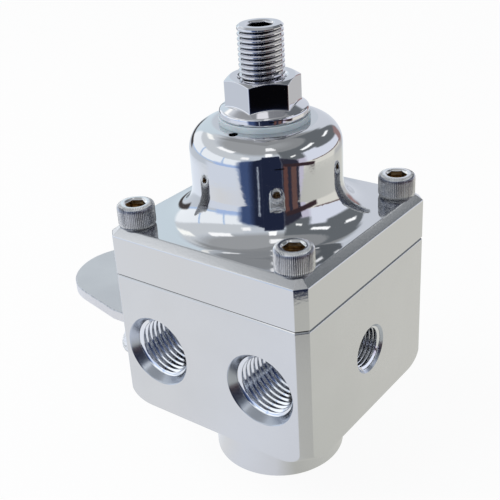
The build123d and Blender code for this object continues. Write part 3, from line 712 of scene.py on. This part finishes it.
def bracket_patches():
    """Blank outline with bevelled edges. The broad faces are flat where the plate is flat and ruled
    round the bend, and the two mounting holes are drilled through the tongue. Gives the plate's
    patches and those of the bevels."""
    run = kink_x - tip_x
    angle = math.degrees(math.atan2(half_width, run) + math.acos(tip_radius / math.hypot(run, half_width)))
    tip = arc((blank_place(tip_x), 0), tip_radius, angle - 180, 180 - angle, 48)
    bend = np.linspace(leg_length, leg_length + bend_length, 17)
    right = np.concatenate([
        arc((leg_corner, -half_width + leg_corner), leg_corner, 180, 270, 8),
        np.stack([bend, np.full(17, -half_width)], axis=-1),
        [(blank_place(kink_x), -half_width)],
    ])
    left = right[::-1] * [1, -1]
    outline = np.concatenate([right, tip, left])
    step = np.roll(outline, -1, 0) - np.roll(outline, 1, 0)
    facing = np.stack([step[:, 1], -step[:, 0]], axis=-1)
    facing /= np.linalg.norm(facing, axis=-1, keepdims=True)
    line, line_facing = side_profile([
        (2 * bevel, plate_thickness), (bevel, plate_thickness), (0, plate_thickness - bevel),
        (0, bevel), (bevel, 0), (2 * bevel, 0)], 0.06)

    def edge_wall(loop, loop_facing):
        """The edge's profile carried along a loop: moved in by its inset at each of its heights."""
        points = level(loop - line[:, None, :1] * loop_facing, line[:, 1])
        return points, level(line_facing[:, None, :1] * loop_facing, line_facing[:, 1])

    edge, edge_normals = edge_wall(outline, facing)
    bands = ((0, 4), (8, 14), (18, 22), (3, 9), (13, 19))
    patches = [skin(edge[a:b], True, edge_normals[a:b]) for a, b in bands]
    holes = []
    for y in (-mount_hole_y, mount_hole_y):
        rim = circle(mount_hole_radius, fine[::-1], (blank_place(mount_hole_x), y))
        hole, hole_normals = edge_wall(rim, -circle(1.0, fine[::-1]))
        patches.append(skin(hole, True, hole_normals))
        holes.append(hole)
    on_leg = np.concatenate([np.arange(0, 10), np.arange(len(outline) - 10, len(outline))])
    on_tongue = np.arange(25, len(outline) - 25)
    on_bend = np.arange(9, 26)
    for row, direction in ((0, 1.0), (-1, -1.0)):
        facing_out = (0, 0, direction)
        patches.append(flat(edge[row][on_leg], [], facing_out))
        patches.append(flat(edge[row][on_tongue], [h[row] for h in holes], facing_out))
        band = np.stack([edge[row][on_bend], edge[row][len(outline) - 1 - on_bend]], axis=1)
        band = band if direction > 0 else band[:, ::-1]
        patches.append(skin(band, False, np.broadcast_to(facing_out, band.shape).astype(float)))
    folded = []
    for points, normals, faces in patches:
        points, normals = fold(points, normals)
        folded.append((points, normals, faces[:, ::-1]))
    return folded[:3] + folded[5:], folded[3:5]


bracket_faces, bracket_bevels = bracket_patches()
piece("mounting_bracket", [(blasted_aluminium, bracket_faces), (sheared_edge, bracket_bevels)], "housing",
      "bracket")

# Bracket screws: two shorter screws of the same kind, standing on split spring washers.
stand_x = wall_x - plate_thickness - 1.1
side_sockets, side_heads = [[
    placed(part, (stand_x, y, bracket_z - 9.2), (0, 0, 1), (0, 1, 0), (-1, 0, 0)) for y in (-13.0, 13.0)
] for part in socket_screw(10.2)]
piece("bracket_bolts", [(bright_steel, side_heads), (brown_socket, side_sockets)], "housing",
      "bracket_screws")

# Sealing washer: thick turned nylon ring under the nut, which keeps the screw's thread tight
# against leaks. Pale, matte and slightly milky.
nylon = new_material(
    "nylon", "#c3d0d8", 0.42, 10 / 3, 3.0, [(0.3, "#c2d0d8"), (0.7, "#ced9df")],
    **{"Metallic": 0.0, "IOR": 1.53, "Subsurface Weight": 0.1, "Subsurface Scale": 0.002})[0]

washer_low, washer_high = node_box("sealing_washer")
washer_radius = washer_high[0]
washer_profile = soften([
    (hole_radius, washer_high[2]), (washer_radius, washer_high[2]), (washer_radius, washer_low[2]),
    (hole_radius, washer_low[2]), (hole_radius, washer_high[2])], [0.12, 0.04, 0.04])
washer_patches = [skin(around(washer_profile, dome_columns))]
piece("nylon_washer", [(nylon, washer_patches)], "washer", "sealing_washer")

# Flange nut: hexagon with a conical flange, forged, tapped and bright chrome plated. It locks
# the adjusting screw. The plating is a mirror with slight waves of some 3 mm.
chrome = new_material(
    "chrome_plate", "#dedee2", 0.03, 20 / 7, 2.0, rough=(0.02, 0.06), bump=(0.06, 0.04))[0]

nut_low, nut_high = node_box("jam_nut")
nut_turn = 15.0
flats_radius, flats_rounding = 7.0, 0.35
flange_radius = 9.4
flange_rim_z = nut_low[2] + 1.6
flange_slope = 1.15 / 2.4
crown_radius = 6.85
crown_slope = math.tan(math.radians(26))


def flange_nut():
    """One profile for each column: the hexagon's radius r, cut above by the cone
    z = top - slope (r - crown) and standing on the flange's cone below."""
    outline, _ = many_sided([flats_radius] * 6, flats_rounding, nut_turn, 5, 22)
    r, angle = np.hypot(outline[:, 0], outline[:, 1]), np.arctan2(outline[:, 1], outline[:, 0])
    top, bottom = nut_high[2], nut_low[2]
    corners = [
        (hole_radius, top - 0.6), (5.35, top), (crown_radius, top),
        (r, top - crown_slope * (r - crown_radius)), (r, flange_rim_z + flange_slope * (flange_radius - r)),
        (flange_radius, flange_rim_z), (flange_radius, bottom + 0.3), (flange_radius - 0.3, bottom),
        (hole_radius, bottom), (hole_radius, top - 0.6),
    ]
    return lathed(corners, [0.12, 0.2, 0.16, 0.3, 0.5, 0.45, 0.2, 0.1], 5, angle)


piece("flange_nut", [(chrome, [flange_nut()])], "locknut", "jam_nut")

# Adjusting screw: 3/8 inch fine-thread socket set screw with a plain tip, bright chrome plated
# like its nut.
screw_low, screw_high = node_box("adjusting_screw")
screw_radius = screw_high[0]
screw_pitch, screw_depth = 1.0583, 0.62
thread_start, thread_end = screw_low[2] + 2.74, screw_high[2] - 0.4
hex_half, hex_depth = 2.38, 6.0
point_radius = 3.0

# Chromed thread: the same plating, with a painted shade dark in the roots of the thread, fading to
# bright 0.16 mm above them. Its waves of some 1.1 mm are stronger.
chromed_thread, tree, shader, place, _ = new_material(
    "chromed_thread", "#dcdce0", 0.05, 10 / 9, 2.0, bump=(0.4, 0.04))
# painted shade in the thread's roots, fading out between these two radii
shaded_root_radius, bright_radius = 4.14, 4.3
root_shade_range = {"From Min": shaded_root_radius / 1000, "From Max": bright_radius / 1000}
root_shade = add(tree, "MapRange", root_shade_range, {"Value": distance_from_axis(tree, place)})
# dark tone of the painted shade in the roots, bright plating above it
tone = add(tree, "ValToRGB", links={"Fac": root_shade}, stops=[(0.0, "#4a4c52"), (1.0, "#dcdce0")])
feed(tree, shader, {"Base Color": tone})


def adjusting_screw():
    """Socket, crown and chamfer above the thread of r = radius - depth w, and the plain tip below
    it. The socket's columns follow the hexagon's outline."""
    outline, _ = many_sided([hex_half] * 6, 0.12, nut_turn, 3, 14)
    inner = np.hypot(outline[:, 0], outline[:, 1])
    angle = np.unwrap(np.arctan2(outline[:, 1], outline[:, 0]))
    top, bottom = screw_high[2], screw_low[2]
    crown = lathed([
        (0, top - hex_depth), (inner, top - hex_depth), (inner, top - 0.35), (3.0, top),
        (screw_radius - 0.45, top), (screw_radius, thread_end)], [0.1, 0.12, 0.15, 0.12], 4, angle)
    tip = [(screw_radius, thread_start), (point_radius, bottom + 1.0), (point_radius, bottom), (0, bottom)]
    turns = thread(screw_radius, screw_depth, screw_pitch, thread_start, thread_end, angle, True, 24)
    return [(chrome, [crown, skin(around(soften(tip, 0.12), angle))]), (chromed_thread, [turns])]


piece("threaded_adjuster", adjusting_screw(), "adjuster", "adjusting_screw")

# Pieces inside the housing keep their CAD shapes: washers, plates and studs of zinc plated steel,
# dull and clouded over some 2.5 mm, springs of drawn wire, turned brass with its tarnish, and
# matte moulded nitrile.
plated_steel = new_material(
    "plated_steel", "#b9b6ab", 0.3, 2.5, 4.0, [(0.3, "#aeab9e"), (0.7, "#c4c2b8")])[0]
spring_steel = new_material(
    "spring_steel", "#6e6f70", 0.35, 10 / 9, 3.0, [(0.3, "#5c5d5e"), (0.7, "#7e7f80")])[0]
brass = new_material("brass", "#c9a55c", 0.22, 2, 4.0, [(0.3, "#b8924c"), (0.7, "#d6b46c")])[0]
nitrile = new_material("nitrile", "#1b1b1c", 0.55, 1 / 3, 2.0, bump=(0.2, 0.03), Metallic=0.0)[0]

finishes = {
    plated_steel: ["bracket_lock_washers", "upper_spring_seat", "diaphragm_upper_plate",
                   "diaphragm_lower_plate", "diaphragm_stem", "stem_washer", "stem_nut"],
    spring_steel: ["main_spring", "poppet_spring"],
    brass: ["valve_seat", "poppet", "spring_retainer"],
    nitrile: ["diaphragm", "valve_seat_o_ring", "poppet_seal"],
}
for material, names in finishes.items():
    for name in names:
        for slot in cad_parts[name].material_slots:
            slot.material = material

# Floor and room: white paper under the object in a plain white surround. The room, and the
# tones of the paper in it, are only there for the polished metal to mirror: windows on the left,
# a pale wall on the right, a grey ceiling with its lamps, and dark cloth behind the camera. Sizes
# from here on are in metres.
mirror_gain = 1.43
room_radius, room_middle = 2.0, 0.07
paper_edge, paper_end = 0.135, 0.21


def window(value, low, high, edge):
    """1 between two values, 0 outside, with ramps of one width at both ends."""
    return np.clip((value - low) / edge + 0.5, 0, 1) * np.clip((high - value) / edge + 0.5, 0, 1)


room_panels = [
    # in degrees: azimuth from, to, softness; elevation from, to, softness, its rise; colour
    (-300, 200, 5, 48, 95, 12, 0, "#949698"),  # ceiling, and its shaded part behind
    (-300, -200, 8, 40, 95, 10, 0, "#848688"),
    (92, 200, 8, 38, 95, 8, 0, "#848688"),
    (-214, -93, 4, 20, 44, 8, 0, "#c0c4c8"),  # wall over the windows
    (-212, -93, 2, -3, 22, 3, 0, "#e4e8ec"),  # row of windows, with a sill and two posts
    (-212, -93, 2, -4, -1, 1, 0, "#a8bcd8"),
    (-122, -119, 1, -3, 23, 2, 0, "#a8bcd8"),
    (-166, -163, 1, -3, 23, 2, 0, "#a8bcd8"),
    (-228, -206, 4, -8, 34, 6, 0, "#c0ccd4"),  # frame at its left end
    (-222, -194, 4, -8, 1, 3, -0.1, "#403c3c"),  # bench under it
    (-134, -93, 7, -24, 1, 6, 0, "#a0b4d8"),  # blue shade under it
    (-30, 104, 4, -60, 72, 14, 0, "#848688"),  # shelves on the right, with their darker fronts
    (-30, 104, 4, -60, 56, 3, 0, "#606468"),
    (-14, 10, 4, -60, 14, 4, 0, "#b8b4c4"),  # wall on the right
    (5, 33, 6, -60, 32, 4, 0, "#d0d4e0"),
    (28, 97, 4, -60, 15, 4, -0.35, "#d0d4e0"),
    (0, 95, 1, -60, -4, 2, 0, "#d2d0c8"),
    (14, 95, 2, -6, -4, 1, 0, "#685858"),  # its skirting, and grey carpet at its far end
    (62, 97, 6, -40, -9, 5, 0, "#acacac"),
    (82, 96, 4, -10, 13, 4, 0, "#8c7474"),  # brown post, and the pale wall behind it
    (97, 150, 3, -60, 34, 6, 0, "#c0c4cc"),
    (-62, -33, 1, -60, 40, 4, 0, "#1e2438"),  # dark blue cloth, lighter toward the windows
    (-90, -61, 3, -60, 24, 4, 0.6, "#1e2438"),
    (-96, -77, 10, -60, 21, 8, 0.5, "#3c4c70"),
    (-33, -8, 2, -60, 22, 6, -0.8, "#2c2c38"),  # dark chair, with two brown legs
    (-31, -25, 1, -60, -2, 4, -0.3, "#5c403c"),
    (-20, -12, 1, -60, -4, 4, -0.3, "#604844"),
    (-30, 18, 3, -13, -2, 3, -0.33, "#34282c"),  # table's edge
    (-68, -66, 1, -60, 2, 3, 0, "#a0a8b4"),  # pale cord
    (-56, -43, 2, 42, 54, 2, 0, "#ffffff"),  # lamps
    (-95, -82, 3, 29, 38, 3, 0, "#f2f2f2"),
    (-156, -118, 4, 42, 50, 3, 0.1, "#f8f8f8"),
    (-207, -188, 3, 32, 39, 3, 0.4, "#f6f6f2"),
    (-16, -7, 2, 27, 32, 2, 0.3, "#f2f2f0"),
    (11, 45, 3, 40, 46, 2, 0.05, "#ffffff"),
    (69, 86, 3, 28, 33, 2, -0.35, "#ffffff"),
    (-56, -26, 4, 66, 80, 4, 0, "#f0f0f0"),
]


def room_tone(azimuth, elevation):
    """Colour of the room in a direction: each panel covers those before it within its borders."""
    tone = np.zeros(np.broadcast(azimuth, elevation).shape + (3,)) + srgb("#b8bec6")
    for left, right, side_edge, low, high, rise_edge, rise, colour in room_panels:
        sloped = elevation - rise * (azimuth - (left + right) / 2)
        share = window(azimuth, left, right, side_edge) * window(sloped, low, high, rise_edge)
        tone += share[..., None] * (srgb(colour) - tone)
    return tone


def paper_tone(azimuth, distance):
    """Colour of the paper in the metal: shaded toward the right, and the room past its edge, with
    a pale strip on the left and a black one beside the camera."""
    angles = np.array([-240, -180, -128, -100, -60, -40, 0, 52, 90, 120])
    shades = np.array([srgb(c) for c in (
        "#cdd4da", "#d2d8e2", "#cccdcf", "#cacdd4", "#c2c4c9", "#a9a9a4", "#b4b4ae", "#bcbbb5", "#bcbcb6",
        "#cdd4da")])
    near = np.stack([np.interp(azimuth, angles, shades[:, k]) for k in range(3)], axis=-1)
    far = room_tone(azimuth, -np.degrees(np.arctan2(room_middle, distance)))
    reach = distance * np.cos(np.radians(azimuth + 48))
    past = window(azimuth, -128, 32, 1) * np.clip((reach - paper_edge) / 0.005 + 0.5, 0, 1)
    past = np.maximum(past, np.clip((distance - paper_end) / 0.02 + 0.5, 0, 1))
    tone = near + past[..., None] * (far - near)
    pale = window(azimuth, -150, -96, 10) * window(distance, 0.187, 0.5, 0.008)
    tone = tone + pale[..., None] * (srgb("#c9cfda") - tone)
    black = window(azimuth, -43, -30, 2) * window(distance, 0.256, 0.37, 0.006)
    return tone + black[..., None] * (srgb("#050507") - tone)


def stage_piece(name, points, tone, material):
    """Grid of points in metres with an sRGB colour at each, kept as the attribute tone."""
    rows, columns = points.shape[:2]
    mesh = bpy.data.meshes.new(name)
    mesh.from_pydata(points.reshape(-1, 3).tolist(), [], grid_faces(rows, columns, False).tolist())
    value = linear_light(tone.reshape(-1, 3))
    attribute = mesh.attributes.new("tone", "FLOAT_COLOR", "POINT")
    attribute.data.foreach_set("color", np.concatenate([value, np.ones((len(value), 1))], axis=1).ravel())
    mesh.materials.append(material)
    made = bpy.data.objects.new(name, mesh)
    bpy.context.scene.collection.objects.link(made)
    return made


def stage_material(name):
    """Material with empty nodes, whose glow isn't sampled as a lamp. Gives it and its nodes."""
    material = bpy.data.materials.new(name)
    material.use_nodes = True
    material.cycles.emission_sampling = "NONE"
    material.node_tree.nodes.clear()
    return material, material.node_tree


# Painted room: a large dome that glows with its own tones, which the metal alone sees.
room_material, tree = stage_material("painted_room")
tone = add(tree, "Attribute", attribute_name="tone")
glow = add(tree, "Emission", {"Strength": mirror_gain}, {"Color": tone})
add(tree, "OutputMaterial", links={"Surface": glow})

azimuth = np.linspace(-240, 120, 481)
elevation = np.linspace(-60, 90, 151)[:, None]
a, e = np.radians(azimuth), np.radians(elevation)
room_points = level(circle(room_radius * np.cos(e), a), room_middle + room_radius * np.sin(e[:, 0]))
room = stage_piece("painted_room", room_points, room_tone(azimuth, elevation), room_material)
room.visible_camera = False
room.visible_diffuse = False
room.visible_transmission = False
room.visible_shadow = False

# White paper: matte, and all but plain white to the camera, with a little of the object's shade.
# The metal sees its tones instead.
paper_material, tree = stage_material("white_paper")
path = add(tree, "LightPath").outputs
camera_ray, glossy, through = (path["Is %s Ray" % kind] for kind in ("Camera", "Glossy", "Transmission"))
seen = add(tree, "Math", links={0: camera_ray, 1: through}, operation="MAXIMUM")
share = add(tree, "Math", {1: 0.93}, {0: seen}, operation="MULTIPLY")
share = add(tree, "Math", links={0: share, 1: glossy}, operation="MAXIMUM")
tone = add(tree, "Attribute", attribute_name="tone")
paper = add(tree, "BsdfDiffuse", {"Color": linear("#f4f4f4")})
white = add(tree, "Emission", {"Color": linear("#ffffff"), "Strength": 1.0})
shaded = add(tree, "Emission", {"Strength": mirror_gain}, {"Color": tone})
lit = add(tree, "MixShader", links={0: glossy, 1: white, 2: shaded})
both = add(tree, "MixShader", links={0: share, 1: paper, 2: lit})
add(tree, "OutputMaterial", links={"Surface": both})

distance = np.concatenate([np.linspace(0, 0.2, 81), np.geomspace(0.21, 3.0, 30)])[::-1, None]
azimuth = np.linspace(-240, 120, 361)
floor_points = level(circle(distance, np.radians(azimuth)), -0.0002)
floor_tone = paper_tone(*np.broadcast_arrays(azimuth, distance))
stage_piece("paper_floor", floor_points, floor_tone, paper_material)

# White surround: plain white where the camera or the metal meets it, and a softer, cooler light on
# everything else, with one large lamp over the front left.
world = bpy.data.worlds.new("white_surround")
bpy.context.scene.world = world
world.use_nodes = True
tree = world.node_tree
tree.nodes.clear()
path = add(tree, "LightPath").outputs
seen = add(tree, "Math", links={0: path["Is Camera Ray"], 1: path["Is Glossy Ray"]}, operation="MAXIMUM")
seen = add(tree, "Math", links={0: seen, 1: path["Is Transmission Ray"]}, operation="MAXIMUM")
soft = add(tree, "Background", {"Color": linear("#e8eaee"), "Strength": 0.7})
white = add(tree, "Background", {"Color": linear("#ffffff"), "Strength": 1.0})
both = add(tree, "MixShader", links={0: seen, 1: soft, 2: white})
add(tree, "OutputWorld", links={"Surface": both})

lamp_data = bpy.data.lights.new("soft_lamp", "AREA")
lamp_data.size = 0.6
lamp_data.energy = 4.0
lamp = bpy.data.objects.new("soft_lamp", lamp_data)
lamp.location = (-0.35, -0.45, 0.8)
lamp.rotation_euler = (Vector((0, 0, 0.04)) - lamp.location).to_track_quat("-Z", "Y").to_euler()
lamp.visible_glossy = False
bpy.context.scene.collection.objects.link(lamp)

bpy.context.scene.view_settings.view_transform = "Standard"
